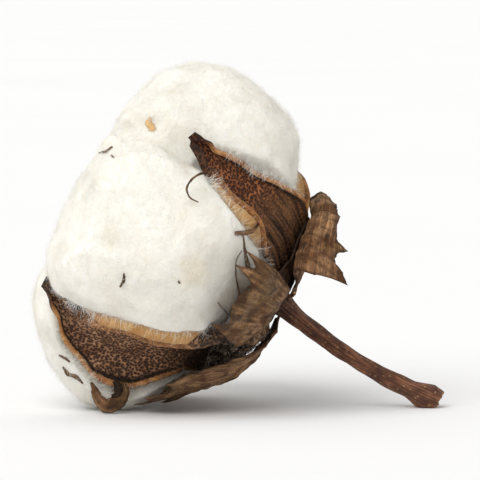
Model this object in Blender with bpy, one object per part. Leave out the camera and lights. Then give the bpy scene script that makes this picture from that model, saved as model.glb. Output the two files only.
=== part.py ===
# An open cotton boll on its own stalk, as picked, lying on its side.
# Four locks of lint swell out between the four valves of the split capsule. Each valve is a dry trough with
# curled lips and a pointed beak, and carries a golden lining on the side that faces the lint. Behind them are
# the calyx, three toothed bracts and the stalk.
# The boll is modelled on its own axis (+Z out of its mouth, +X towards the viewer's side) and then laid down,
# so that the lowest lock rests on a small flat spot at the world's origin and the stalk's end touches the surface.

import math
import random

import bmesh
import bpy
import numpy as np
from mathutils import Matrix, Vector, noise

MM = 0.001

# How the boll lies: its axis rises from the stalk to the mouth, towards -X.
AXIS_RISE = math.radians(32)
BOLL_BASE = Vector((32.1, 1.9, 20.3)) * MM

# Walls and the gaps that keep neighbours apart.
VALVE_THICKNESS = 1.1 * MM
LINING_THICKNESS = 0.6 * MM
BRACT_THICKNESS = 0.75 * MM
CALYX_THICKNESS = 0.8 * MM
GAP = 0.3 * MM
LINING_LIFT = -(VALVE_THICKNESS / 2 + GAP + LINING_THICKNESS / 2)
LINT_LIFT = -(VALVE_THICKNESS / 2 + GAP + LINING_THICKNESS + 1.4 * GAP)

# Valves: the path of each runs (distance from the axis, height along the axis), from the base to the beak.
# arcs are the half widths and curls the lips' turns, on the side of smaller and of larger azimuth. The lips curl
# over the shares LIPS of the path, or the valve's own, and CREASES of each half stays flat. lining is the stretch
# of VALVE_STEPS that its lining covers.
VALVE_FOOT = [(2.6, 2.8), (8, 2.6), (13, 3.8)]
VALVES = {
    "lower_front": dict(azimuth=-52, bow=[(16.6, 7), (20, 12.6), (23.8, 20.2), (26.2, 30.5), (25.8, 39.4)],
                        arcs=(13.8, 13.2), curls=(85, 150), widths=("late", "even"), lining=(9, 15), creases=(0.35, 0.5)),
    "upper_front": dict(azimuth=38, bow=[(17.6, 7), (21, 12.4), (23.4, 18), (26, 24.5), (29.6, 30.4)],
                        arcs=(10.5, 11), curls=(150, 60), widths=("late", "early"), lining=(8, 15), lips=(0.34, 0.6)),
    "upper_back": dict(azimuth=134, bow=[(17.8, 7), (21.6, 13), (24.4, 21), (26.6, 29.5), (26.6, 37)],
                       arcs=(9.5, 11.5), curls=(100, 110), widths=("even", "even"), lining=(4, 15)),
    "lower_back": dict(azimuth=-118, bow=[(19.6, 5.8), (25.8, 9), (31, 12.6), (34.8, 15.8), (38.2, 18.6)],
                       arcs=(9.5, 7.5), curls=(75, 40), widths=("even", "even"), lining=(4, 15)),
}
VALVE_WIDTHS = {
    "even": [(0, 0.5), (0.2, 0.72), (0.42, 1), (0.68, 0.86), (0.84, 0.46), (0.92, 0.2), (1, 0.1)],
    "late": [(0, 0.5), (0.15, 0.62), (0.38, 0.45), (0.56, 0.92), (0.7, 0.9), (0.84, 0.5), (0.92, 0.22), (1, 0.1)],
    "early": [(0, 0.5), (0.15, 0.8), (0.36, 1), (0.5, 0.75), (0.7, 0.5), (0.84, 0.34), (0.92, 0.2), (1, 0.1)],
}
VALVE_STEPS = (18, 16)
CREASES = (0.35, 0.35)
LEAST_CURL_RADIUS = 0.9 * MM
LIPS = (0.2, 0.48)
LIP_WAVE = 0.5 * MM

# Linings cover this much of a valve across it.
LINING_SPREAD = 0.94

# Locks of lint: each fills the sector between two valves. reach is its outer radius, mouth its height, brow its
# radius beside the valves, shoulder how far its rounded upper edge stands from its middle, and funnel the height
# at which its slanting foot is FUNNEL_RADIUS from the axis.
LOCK_RADIUS, LOCK_HEIGHT = 15 * MM, 22 * MM
LOCKS = {
    "front": dict(azimuth=-7, half=45, reach=33, brow=29, mouth=46, shoulder=22.5, funnel=7.4, seed=3),
    "top": dict(azimuth=86, half=48, reach=35, brow=29.5, mouth=45.5, shoulder=23.5, funnel=7.4, seed=8),
    "back": dict(azimuth=188, half=54, reach=33, brow=28.5, mouth=45, shoulder=22.5, funnel=7.4, seed=5),
    "bottom": dict(azimuth=-85, half=33, reach=45, brow=31, mouth=42, shoulder=20.5, funnel=4.8, seed=29),
}
LOCK_SOFTNESS = 6
LOCK_FLOOR = -5.2 * MM
FUNNEL_RADIUS = 19.5
LOCK_DETAIL = 4
PUFFS = 8
PUFF_WIDTH = math.radians(34)
PUFF_HEIGHT = 0.12
LINT_CLEARS = 12 * MM

# Calyx, bracts and stalk, as (distance from the axis, height along the axis). A bract's cut edge is a list of
# (angle from its middle, reach along its path), and its sweeps bend one side down and the other up.
CALYX = [(2.6, 1.4), (6, 1.2), (9.4, 1.3), (11.8, 1.5), (12.8, 1.7)]
CALYX_LOBES = 5
BRACTS = {
    "front": dict(azimuth=-4, sweep=(0, 0), seed=1,
                  path=[(2.6, 0.2), (8, 0.1), (12, 0.3), (15.5, 1), (19.4, 2.2), (23.6, 4.1), (27.6, 6.8), (30.8, 10.2), (33, 14.8)],
                  edge=[(-42, 8), (-38, 13), (-33, 15), (-29, 13), (-23, 20), (-18, 24), (-12, 30), (-9, 27), (-3, 28.5),
                        (3, 29), (8, 28), (11, 33), (14, 29), (17, 33), (19.5, 22), (22, 9)]),
    "upper": dict(azimuth=45, sweep=(0.34, 0.15), seed=2,
                  path=[(3.7, -1.2), (8, -0.8), (12, -0.1), (15, 0.7), (17.6, 2.4), (20, 3.4), (21.8, 2.6), (22.8, 0.4),
                        (23.3, -2.6), (23.5, -5.6)],
                  edge=[(-23, 9), (-20.5, 21), (-17, 25.6), (-13, 25), (-9, 24), (-5, 24.5), (-1, 27), (3, 24.6),
                        (11, 24.2), (19, 25), (26, 24.4), (33, 25), (40, 23), (48, 20.5), (55, 15.5), (60, 9.5)]),
    "lower": dict(azimuth=-78, sweep=(0, 0), seed=6,
                  path=[(3.5, -1.4), (7, -1.9), (11.5, -1.7), (16, -0.2), (20.6, 2.6), (25, 6.2), (29.2, 10.1), (32.6, 13.8)],
                  edge=[(-44, 9), (-38, 16), (-32, 14), (-24, 19), (-17, 17), (-8, 28), (-2, 27), (4, 34), (10, 31),
                        (15, 33), (20, 28), (25, 30), (31, 25), (36, 24), (40, 18), (43, 9)]),
}
BRACT_ROWS = 7
BRACT_CRUMPLE = 0.9 * MM
STALK_TOP, STALK_LENGTH = -0.9 * MM, 35.4 * MM
STALK_RADII = [(0, 2.7), (0.05, 2.1), (0.18, 1.65), (0.6, 1.5), (0.84, 1.9), (0.94, 2.6), (1, 2.3)]
STALK_SAG = 1.6 * MM
STALK_SIDES, STALK_RINGS = 10, 14

# Base colours (linear), roughness.
FINISHES = {
    "lint": ((0.84, 0.81, 0.72, 1), 0.95),
    "valve": ((0.105, 0.058, 0.032, 1), 0.75),
    "lining": ((0.52, 0.30, 0.10, 1), 0.4),
    "bract": ((0.15, 0.078, 0.034, 1), 0.8),
    "calyx": ((0.10, 0.055, 0.026, 1), 0.8),
    "stalk": ((0.12, 0.048, 0.022, 1), 0.65),
}


def clear_scene():
    for old in list(bpy.data.objects):
        bpy.data.objects.remove(old)


def finish(name):
    """The named material, made once."""
    if name in bpy.data.materials:
        return bpy.data.materials[name]
    colour, roughness = FINISHES[name]
    made = bpy.data.materials.new(name)
    made.use_nodes = True
    shader = made.node_tree.nodes["Principled BSDF"]
    shader.inputs["Base Color"].default_value = colour
    shader.inputs["Roughness"].default_value = roughness
    shader.inputs["Metallic"].default_value = 0
    return made


def add_object(name, bm, finish_name, axis):
    """Makes an object of the bmesh, lying with the boll's axis."""
    bmesh.ops.recalc_face_normals(bm, faces=bm.faces)
    mesh = bpy.data.meshes.new(name)
    bm.to_mesh(mesh)
    bm.free()
    mesh.shade_smooth()
    mesh.set_sharp_from_angle(angle=math.radians(50))
    obj = bpy.data.objects.new(name, mesh)
    obj.parent = axis
    obj.data.materials.append(finish(finish_name))
    bpy.context.scene.collection.objects.link(obj)
    return obj


def thicken(obj, thickness):
    solid = obj.modifiers.new("thickness", "SOLIDIFY")
    solid.thickness = thickness
    solid.offset = 0


def smooth_path(points, count=120):
    """Evenly spaced points along a smooth curve through the given ones."""
    points = np.array(points, float)
    knots = np.append(0, np.cumsum(np.linalg.norm(np.diff(points, axis=0), axis=1)))
    slopes = np.gradient(points, knots, axis=0)
    along = np.linspace(0, knots[-1], 20 * len(points))
    first = np.clip(np.searchsorted(knots, along, side="right") - 1, 0, len(knots) - 2)
    span = (knots[first + 1] - knots[first])[:, None]
    x = (along - knots[first])[:, None] / span
    curve = (
        (2 * x**3 - 3 * x**2 + 1) * points[first]
        + (x**3 - 2 * x**2 + x) * span * slopes[first]
        + (3 * x**2 - 2 * x**3) * points[first + 1]
        + (x**3 - x**2) * span * slopes[first + 1]
    )
    walked = np.append(0, np.cumsum(np.linalg.norm(np.diff(curve, axis=0), axis=1)))
    even = np.linspace(0, walked[-1], count)
    return np.column_stack([np.interp(even, walked, curve[:, k]) for k in range(2)]), walked[-1]


def along_path(path, share):
    """The point at that share of a path, and its outward normal. Past the end it goes straight on."""
    last = len(path) - 1
    place = min(max(share, 0), 1) * last
    i = min(int(place), last - 1)
    step = path[i + 1] - path[i]
    point = path[i] + step * (place - i) + step * max(share - 1, 0) * last
    direction = path[min(i + 2, last)] - path[max(i - 1, 0)]
    direction = direction / np.linalg.norm(direction)
    return point, np.array([direction[1], -direction[0]])


def ramp(value, start, end):
    x = min(max((value - start) / (end - start), 0), 1)
    return x * x * (3 - 2 * x)


def turned(radius, height, azimuth, sideways=0.0):
    """A point at that distance from the axis, height and azimuth, moved sideways round the boll."""
    c, s = math.cos(azimuth), math.sin(azimuth)
    return Vector((radius * c - sideways * s, radius * s + sideways * c, height))


# Each valve also keeps its azimuth in radians, its path, and half the sector to its neighbour on each side.
def prepare_valves():
    azimuths = sorted(v["azimuth"] % 360 for v in VALVES.values())
    for valve in VALVES.values():
        own = azimuths.index(valve["azimuth"] % 360)
        below = (azimuths[own] - azimuths[own - 1]) % 360
        above = (azimuths[(own + 1) % len(azimuths)] - azimuths[own]) % 360
        valve["halves"] = (math.radians(below / 2), math.radians(above / 2))
        valve["turn"] = math.radians(valve["azimuth"])
        path, valve["length"] = smooth_path(VALVE_FOOT + valve["bow"])
        valve["path"] = path * MM


def lip_of(valve, share, side, radius):
    """Half width, flat middle and turn of a valve's section there, on side 0 or 1."""
    places, widths = zip(*VALVE_WIDTHS[valve["widths"][side]])
    half = valve["arcs"][side] * MM * float(np.interp(share, places, widths))
    half = min(half, radius * math.tan(valve["halves"][side]) - 0.45 * MM)
    turn = math.radians(valve["curls"][side]) * ramp(share, *valve.get("lips", LIPS))
    flat = valve.get("creases", CREASES)[side] * half
    return half, flat, min(turn, (half - flat) / LEAST_CURL_RADIUS)


def valve_point(valve, share, across, lift):
    """A point of a valve's sheet: share along it from 0 to 1, across it from -1 to 1, lifted outwards."""
    (radius, height), (out_r, out_h) = along_path(valve["path"], share)
    side = int(across > 0)
    half, flat, turn = lip_of(valve, share, side, radius)
    along = abs(across) * half
    sideways, rise, angle = along, 0.0, 0.0
    if along > flat and turn > 1e-4:
        curl_radius = (half - flat) / turn
        angle = (along - flat) / curl_radius
        sideways = flat + curl_radius * math.sin(angle)
        rise = curl_radius * (1 - math.cos(angle))
    wave = LIP_WAVE * abs(across) ** 3 * math.sin(share * 23 + side * 2) * ramp(share, LIPS[1], 0.7)
    sideways -= lift * math.sin(angle)
    rise += lift * math.cos(angle) + wave * (1 - ramp(share, 0.75, 0.9))
    return turned(radius + out_r * rise, height + out_h * rise, valve["turn"], math.copysign(sideways, across))


def bent_grid(steps, place):
    """A flat grid whose corners are moved to place(along from 0 to 1, across from -1 to 1)."""
    bm = bmesh.new()
    bmesh.ops.create_grid(bm, x_segments=steps[1], y_segments=steps[0], size=0.5)
    for vertex in bm.verts:
        vertex.co = place(vertex.co.y + 0.5, 2 * vertex.co.x)
    return bm


def make_valve(name, valve, axis):
    bm = bent_grid(VALVE_STEPS, lambda along, across: valve_point(valve, along, across, 0))
    thicken(add_object(f"valve_{name}", bm, "valve", axis), VALVE_THICKNESS)


def make_lining(name, valve, axis):
    start, end = valve["lining"]
    rows, columns = VALVE_STEPS

    def place(along, across):
        share = (start + (end - start) * along) / rows
        return valve_point(valve, share, across * LINING_SPREAD, LINING_LIFT)

    bm = bent_grid((end - start, columns), place)
    thicken(add_object(f"lining_{name}", bm, "lining", axis), LINING_THICKNESS)


def loft(rings, cyclic=False):
    """A closed skin over rings of points: capped at its ends, or joined round when it is cyclic."""
    bm = bmesh.new()
    rows = [[bm.verts.new(point) for point in ring] for ring in rings]
    pairs = list(zip(rows, rows[1:])) + ([(rows[-1], rows[0])] if cyclic else [])
    for low, high in pairs:
        for i in range(len(low)):
            bm.faces.new((low[i - 1], low[i], high[i], high[i - 1]))
    if not cyclic:
        bm.faces.new(rows[0])
        bm.faces.new(rows[-1][::-1])
    return bm


def make_lint_cutter(name, valve, axis):
    """The room that a valve and its lining take from the lint, with the trough open outwards."""
    rings = []
    for share in np.linspace(0.02, 1.05, 16):
        (radius, _), (out_r, out_h) = along_path(valve["path"], share)
        ring = []
        for side, sign in ((0, -1), (1, 1)):
            half, flat, turn = lip_of(valve, share, side, radius)
            crest = 1.0
            if turn > math.pi / 2:
                crest = (flat + (half - flat) * math.pi / 2 / turn) / half
            shares = np.linspace(crest, 0.12, 6) if side == 0 else np.linspace(0.12, crest, 6)
            ring += [valve_point(valve, share, sign * s, LINT_LIFT) for s in shares]
        outwards = turned(out_r, out_h, valve["turn"]) * LINT_CLEARS
        ring += [ring[-1] + outwards, ring[0] + outwards]
        rings.append(ring)
    cutter = add_object(f"lint_cutter_{name}", loft(rings), "valve", axis)
    cutter.hide_render = True
    cutter.display_type = "WIRE"
    return cutter


def lock_limits(lock):
    """The soft walls that a lock swells against: (outward normal, distance from the lock's centre)."""
    azimuth, half = math.radians(lock["azimuth"]), math.radians(lock["half"])
    out, side, up = turned(1, 0, azimuth), turned(0, 0, azimuth, 1), Vector((0, 0, 1))
    centre = out * LOCK_RADIUS + up * LOCK_HEIGHT
    reach, rise = lock["reach"] * MM - LOCK_RADIUS, lock["mouth"] * MM - LOCK_HEIGHT
    walls = [(out, reach), (up, rise), (-up, LOCK_HEIGHT + LOCK_FLOOR)]
    walls.append(((out + up).normalized(), lock["shoulder"] * MM))
    funnel = (out * 0.555 - up * 0.832).normalized()
    walls.append((funnel, ((out * FUNNEL_RADIUS + up * lock["funnel"]) * MM - centre).dot(funnel)))
    for sign in (-1, 1):
        wall = side * sign * math.cos(half) - out * math.sin(half)
        walls.append((wall, LOCK_RADIUS * math.sin(half) - GAP))
        cheek = (out + side * sign).normalized()
        beside = turned(lock["brow"] * MM, LOCK_HEIGHT, azimuth + sign * half)
        walls.append((cheek, (beside - centre).dot(cheek)))
    return walls, centre


def puffs_of(lock):
    """Directions of the tufts that swell a lock, one for each seed that it holds."""
    draw = random.Random(lock["seed"])
    golden = math.pi * (3 - math.sqrt(5))
    found = []
    for i in range(PUFFS):
        z = 1 - 2 * (i + 0.5) / PUFFS
        turn = golden * i + draw.uniform(-0.35, 0.35)
        flat = math.sqrt(1 - z * z)
        found.append(Vector((flat * math.cos(turn), flat * math.sin(turn), z)))
    spin = Matrix.Rotation(draw.uniform(0, math.tau), 3, "Z") @ Matrix.Rotation(draw.uniform(0, math.tau), 3, "X")
    return [spin @ direction for direction in found]


def make_lock(name, lock, axis, cutters, surface):
    """One lock of lint. surface is the plane that it rests on, as (point, normal) on the boll's axis."""
    walls, centre = lock_limits(lock)
    puffs = puffs_of(lock)
    bm = bmesh.new()
    bmesh.ops.create_icosphere(bm, subdivisions=LOCK_DETAIL - 1, radius=1)
    for vertex in bm.verts:
        way = vertex.co.normalized()
        pull = sum(max(way.dot(wall) / distance, 0) ** LOCK_SOFTNESS for wall, distance in walls)
        swell = max(math.exp(-((way.angle(puff) / PUFF_WIDTH) ** 2)) for puff in puffs)
        vertex.co = centre + way * pull ** (-1 / LOCK_SOFTNESS) * (1 + PUFF_HEIGHT * (swell - 0.75))
    point, normal = surface
    cut = bmesh.ops.bisect_plane(
        bm, geom=bm.verts[:] + bm.edges[:] + bm.faces[:], plane_co=point, plane_no=-normal, clear_outer=True
    )
    edges = [part for part in cut["geom_cut"] if isinstance(part, bmesh.types.BMEdge)]
    if edges:
        bmesh.ops.contextual_create(bm, geom=edges)
    obj = add_object(f"lock_{name}", bm, "lint", axis)
    for cutter in cutters:
        trim = obj.modifiers.new(cutter.name, "BOOLEAN")
        trim.operation = "DIFFERENCE"
        trim.object = cutter


def make_calyx(axis):
    path, _ = smooth_path(CALYX)
    path = path * MM

    def place(along, across):
        turn = math.pi * across
        lobe = 0.86 + 0.14 * abs(math.cos(turn * CALYX_LOBES / 2)) ** 0.7
        (radius, height), _ = along_path(path, along * lobe)
        return turned(radius, height, turn)

    bm = bent_grid((6, 41), place)
    bmesh.ops.remove_doubles(bm, verts=bm.verts, dist=0.01 * MM)
    thicken(add_object("calyx", bm, "calyx", axis), CALYX_THICKNESS)


def make_bract(name, bract, axis):
    path, length = smooth_path(bract["path"])
    path = path * MM
    centre, (angles, reaches) = math.radians(bract["azimuth"]), zip(*bract["edge"])
    columns = 2 * (len(angles) - 1)

    def place(along, across):
        knot = (across + 1) / 2 * (len(angles) - 1)
        angle = float(np.interp(knot, range(len(angles)), angles))
        reach = float(np.interp(knot, range(len(angles)), reaches))
        (radius, height), (out_r, out_h) = along_path(path, along * reach / length)
        turn = centre + math.radians(angle)
        spot = Vector((radius, height, math.radians(angle) * 9 * MM)) / (7 * MM) + Vector((bract["seed"], 0, 0))
        lift = BRACT_CRUMPLE * noise.noise(spot) * ramp(along, 0.1, 0.5)
        height += bract["sweep"][angle > 0] * angle * (along * reach / max(reaches)) ** 3.5 * MM
        return turned(radius + out_r * lift, height + out_h * lift, turn)

    thicken(add_object(f"bract_{name}", bent_grid((BRACT_ROWS, columns), place), "bract", axis), BRACT_THICKNESS)


def make_stalk(axis, surface):
    """The stalk: a tapering round stem, flared at both ends, its far end cut level where it touches the surface."""
    places, radii = zip(*STALK_RADII)
    rings = []
    for share in np.linspace(0, 1, STALK_RINGS):
        radius = float(np.interp(share, places, radii)) * MM
        middle = Vector((0, -STALK_SAG * math.sin(math.pi * share), STALK_TOP - STALK_LENGTH * share))
        turns = [math.tau * i / STALK_SIDES for i in range(STALK_SIDES)]
        rings.append([middle + turned(radius, 0, turn) for turn in turns])
    bm = loft(rings)
    point, normal = surface
    cut = bmesh.ops.bisect_plane(
        bm, geom=bm.verts[:] + bm.edges[:] + bm.faces[:], plane_co=point, plane_no=-normal, clear_outer=True
    )
    edges = [part for part in cut["geom_cut"] if isinstance(part, bmesh.types.BMEdge)]
    if edges:
        bmesh.ops.contextual_create(bm, geom=edges)
    add_object("stalk", bm, "stalk", axis)


def lay_down():
    """An empty whose axes are the boll's: X to the viewer's side, Y up across the axis, Z out of the mouth."""
    mouth = Vector((-math.cos(AXIS_RISE), 0, math.sin(AXIS_RISE)))
    front = Vector((0, -1, 0))
    axis = bpy.data.objects.new("boll_axis", None)
    bpy.context.scene.collection.objects.link(axis)
    axis.matrix_world = Matrix.Translation(BOLL_BASE) @ Matrix((front, mouth.cross(front), mouth)).transposed().to_4x4()
    return axis


def main():
    clear_scene()
    prepare_valves()
    axis = lay_down()
    to_boll = axis.matrix_world.inverted()
    surface = (to_boll @ Vector((0, 0, 0)), to_boll.to_3x3() @ Vector((0, 0, 1)))
    cutters = [make_lint_cutter(name, valve, axis) for name, valve in VALVES.items()]
    for name, valve in VALVES.items():
        make_valve(name, valve, axis)
        make_lining(name, valve, axis)
    for name, lock in LOCKS.items():
        make_lock(name, lock, axis, cutters, surface)
    make_calyx(axis)
    for name, bract in BRACTS.items():
        make_bract(name, bract, axis)
    make_stalk(axis, surface)


main()
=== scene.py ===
# %% [markdown]
# # An open cotton boll
# A boll is the ripe fruit of the cotton plant. Its dry capsule has split into four stiff valves, and four locks of
# lint have swelled out between them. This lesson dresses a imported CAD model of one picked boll, which lies on its
# side on its lowest lock, with its own stalk touching the surface.

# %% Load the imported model
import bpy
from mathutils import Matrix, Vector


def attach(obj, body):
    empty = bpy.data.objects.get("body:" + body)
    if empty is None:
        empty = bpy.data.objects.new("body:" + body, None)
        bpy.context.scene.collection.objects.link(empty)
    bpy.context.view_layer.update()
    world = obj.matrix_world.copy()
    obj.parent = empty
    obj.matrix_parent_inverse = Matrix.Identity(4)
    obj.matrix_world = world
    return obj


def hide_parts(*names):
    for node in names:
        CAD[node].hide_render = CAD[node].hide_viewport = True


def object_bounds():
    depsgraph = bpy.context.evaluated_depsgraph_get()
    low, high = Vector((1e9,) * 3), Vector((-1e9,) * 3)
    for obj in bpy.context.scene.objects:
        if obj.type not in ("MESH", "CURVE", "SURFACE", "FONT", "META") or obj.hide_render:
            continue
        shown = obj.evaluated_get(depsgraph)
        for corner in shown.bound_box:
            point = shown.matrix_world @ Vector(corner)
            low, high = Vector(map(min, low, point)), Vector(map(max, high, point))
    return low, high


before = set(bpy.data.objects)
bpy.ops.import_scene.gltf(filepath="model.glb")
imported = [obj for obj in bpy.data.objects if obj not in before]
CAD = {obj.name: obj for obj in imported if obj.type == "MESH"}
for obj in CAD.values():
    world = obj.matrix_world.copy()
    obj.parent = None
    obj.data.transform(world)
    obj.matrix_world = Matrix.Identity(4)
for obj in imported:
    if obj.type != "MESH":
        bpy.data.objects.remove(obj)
cad_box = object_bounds()
print("CAD box in mm:", [[round(v * 1000, 1) for v in corner] for corner in cad_box])

# %% [markdown]
# ## Units and small tools
# The scene is in metres and a boll is measured in millimetres, so every length below is written times MM. ramp is
# the soft step that fades one shape or one value into the next, which keeps hard lines out of a grown thing.

# %% Modules, units and the soft step
import math
import random

import bmesh
import bpy
import numpy as np
from mathutils import Matrix, Vector, noise
from mathutils.bvhtree import BVHTree

MM = 0.001
UP = Vector((0, 0, 1))


def ramp(value, start, end):
    x = min(max((value - start) / (end - start), 0), 1)
    return x * x * (3 - 2 * x)


print(len(CAD), "CAD nodes:", ", ".join(sorted(CAD)))

# %% [markdown]
# ## The boll's own axis
# A boll grows round an axis, so its parts are easiest to draw in its own coordinates: a distance from the axis, a
# height along it and a turn round it. One matrix then lays them down as the picked boll lies.

# %% Coordinates on the boll
AXIS_RISE = math.radians(32)
BOLL_BASE = Vector((32.1, 1.9, 20.3)) * MM
FRONT = Vector((0, -1, 0))
MOUTH = Vector((-math.cos(AXIS_RISE), 0, math.sin(AXIS_RISE)))
ACROSS = MOUTH.cross(FRONT)
TO_WORLD = Matrix.Translation(BOLL_BASE) @ Matrix((FRONT, ACROSS, MOUTH)).transposed().to_4x4()


def turned(radius, height, azimuth, sideways=0.0):
    """A point at that distance from the axis, height and azimuth, moved sideways round the boll."""
    c, s = math.cos(azimuth), math.sin(azimuth)
    return Vector((radius * c - sideways * s, radius * s + sideways * c, height))


print("axis points to", [round(v, 2) for v in MOUTH])

# %% [markdown]
# ## Smooth paths
# Valves and bracts follow curved lines from the base outwards. A few points give the line, and a smooth curve
# through them gives evenly spaced places to put rows of a mesh at.

# %% A smooth curve through a few points
def smooth_path(points, count=240):
    points = np.array(points, float)
    knots = np.append(0, np.cumsum(np.linalg.norm(np.diff(points, axis=0), axis=1)))
    slopes = np.gradient(points, knots, axis=0)
    along = np.linspace(0, knots[-1], 20 * len(points))
    first = np.clip(np.searchsorted(knots, along, side="right") - 1, 0, len(knots) - 2)
    span = (knots[first + 1] - knots[first])[:, None]
    x = (along - knots[first])[:, None] / span
    curve = (
        (2 * x**3 - 3 * x**2 + 1) * points[first]
        + (x**3 - 2 * x**2 + x) * span * slopes[first]
        + (3 * x**2 - 2 * x**3) * points[first + 1]
        + (x**3 - x**2) * span * slopes[first + 1]
    )
    walked = np.append(0, np.cumsum(np.linalg.norm(np.diff(curve, axis=0), axis=1)))
    even = np.linspace(0, walked[-1], count)
    return np.column_stack([np.interp(even, walked, axis) for axis in curve.T]) * MM, walked[-1]


def along_path(path, share):
    """The point at that share of a path, and its outward normal. Past the end it goes straight on."""
    last = len(path) - 1
    place = min(max(share, 0), 1) * last
    i = min(int(place), last - 1)
    step = path[i + 1] - path[i]
    point = path[i] + step * (place - i) + step * max(share - 1, 0) * last
    direction = path[min(i + 4, last)] - path[max(i - 3, 0)]
    direction = direction / np.linalg.norm(direction)
    return point, np.array([direction[1], -direction[0]])


print("tools for paths are ready")

# %% [markdown]
# ## Node tools
# Every finish here is a small graph of shader nodes. put makes one node and sets or links its inputs, and blend
# mixes two colours by a mask. Colours are written as they look on a screen, and paint turns them to linear light.

# %% Short ways to make nodes
def paint(red, green, blue):
    parts = [v / 255 for v in (red, green, blue)]
    return (*[v / 12.92 if v <= 0.04045 else ((v + 0.055) / 1.055) ** 2.4 for v in parts], 1)


def put(tree, kind, settings=None, **inputs):
    made = tree.nodes.new(kind)
    for name, value in (settings or {}).items():
        setattr(made, name, value)
    for name, value in inputs.items():
        socket = made.inputs[name.replace("_", " ")]
        if isinstance(value, bpy.types.NodeSocket):
            tree.links.new(value, socket)
        else:
            socket.default_value = value
    return made


def blend(tree, mask, first, second, mode="MIX"):
    made = tree.nodes.new("ShaderNodeMix")
    made.data_type, made.blend_type = "RGBA", mode
    for index, value in ((0, mask), (6, first), (7, second)):
        if isinstance(value, bpy.types.NodeSocket):
            tree.links.new(value, made.inputs[index])
        else:
            made.inputs[index].default_value = value
    return made.outputs[2]


print("white lint is", [round(v, 2) for v in paint(237, 231, 213)])

# %% [markdown]
# ## Shared effects
# Plant skins share a few effects: cloudy mottling, streaks that run along the fibres, and small pits or specks.
# Each is a node group with named inputs, made once and placed in many materials with its own numbers.

# %% Node groups for mottling, streaks and specks
def new_group(name, inputs, outputs=("Mask",)):
    group = bpy.data.node_groups.new(name, "ShaderNodeTree")
    for socket, kind, value in inputs:
        made = group.interface.new_socket(socket, in_out="INPUT", socket_type=kind)
        if value is not None:
            made.default_value = value
    for socket in outputs:
        group.interface.new_socket(socket, in_out="OUTPUT", socket_type="NodeSocketFloat")
    return group, group.nodes.new("NodeGroupInput").outputs, group.nodes.new("NodeGroupOutput").inputs


def stretch_of(group, value, low, high):
    return put(group, "ShaderNodeMapRange", Value=value, From_Min=low, From_Max=high).outputs[0]


FLOAT, VECTOR = "NodeSocketFloat", "NodeSocketVector"
mottle, given, put_out = new_group("mottle", [
    ("Vector", VECTOR, None), ("Scale", FLOAT, 100), ("Detail", FLOAT, 4), ("Low", FLOAT, 0.35), ("High", FLOAT, 0.65)])
cloud = put(mottle, "ShaderNodeTexNoise", Vector=given["Vector"], Scale=given["Scale"], Detail=given["Detail"])
mottle.links.new(stretch_of(mottle, cloud.outputs["Fac"], given["Low"], given["High"]), put_out["Mask"])

streaks, given, put_out = new_group("streaks", [
    ("Vector", VECTOR, None), ("Stretch", VECTOR, (0.1, 1, 1)), ("Scale", FLOAT, 1), ("Low", FLOAT, 0.4), ("High", FLOAT, 0.6)])
pulled = put(streaks, "ShaderNodeVectorMath", {"operation": "MULTIPLY"})
streaks.links.new(given["Vector"], pulled.inputs[0])
streaks.links.new(given["Stretch"], pulled.inputs[1])
lines = put(streaks, "ShaderNodeTexNoise", Vector=pulled.outputs[0], Scale=given["Scale"], Detail=5, Roughness=0.6)
streaks.links.new(stretch_of(streaks, lines.outputs["Fac"], given["Low"], given["High"]), put_out["Mask"])

specks, given, put_out = new_group("specks", [
    ("Vector", VECTOR, None), ("Scale", FLOAT, 1500), ("Near", FLOAT, 0.15), ("Far", FLOAT, 0.45)])
cells = put(specks, "ShaderNodeTexVoronoi", {"voronoi_dimensions": "2D"},
            Vector=given["Vector"], Scale=given["Scale"], Randomness=1.0)
specks.links.new(stretch_of(specks, cells.outputs["Distance"], given["Far"], given["Near"]), put_out["Mask"])
print("node groups:", [group.name for group in bpy.data.node_groups])


# %% Short ways to place the groups
def new_material(name, **fixed):
    made = bpy.data.materials.new(name)
    made.use_nodes = True
    shader = made.node_tree.nodes["Principled BSDF"]
    for socket, value in fixed.items():
        shader.inputs[socket.replace("_", " ")].default_value = value
    return made, made.node_tree, shader


def masked(tree, group, vector, **values):
    return put(tree, "ShaderNodeGroup", {"node_tree": group}, Vector=vector, **values).outputs["Mask"]


def attribute(tree, name):
    return put(tree, "ShaderNodeAttribute", {"attribute_name": name}).outputs["Vector"]


def parts_of(tree, vector):
    return put(tree, "ShaderNodeSeparateXYZ", Vector=vector).outputs


def object_place(tree):
    return put(tree, "ShaderNodeTexCoord").outputs["Object"]


def relief(tree, shader, layers):
    """Bump nodes one after another: (height mask, depth in metres)."""
    normal = None
    for height, depth in layers:
        bump = put(tree, "ShaderNodeBump", Height=height, Strength=1.0, Distance=depth)
        if normal:
            tree.links.new(normal, bump.inputs["Normal"])
        normal = bump.outputs["Normal"]
    tree.links.new(normal, shader.inputs["Normal"])


def levels(tree, value, low, high):
    return put(tree, "ShaderNodeMapRange", Value=value, To_Min=low, To_Max=high).outputs[0]


print("placing tools are ready")
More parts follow.
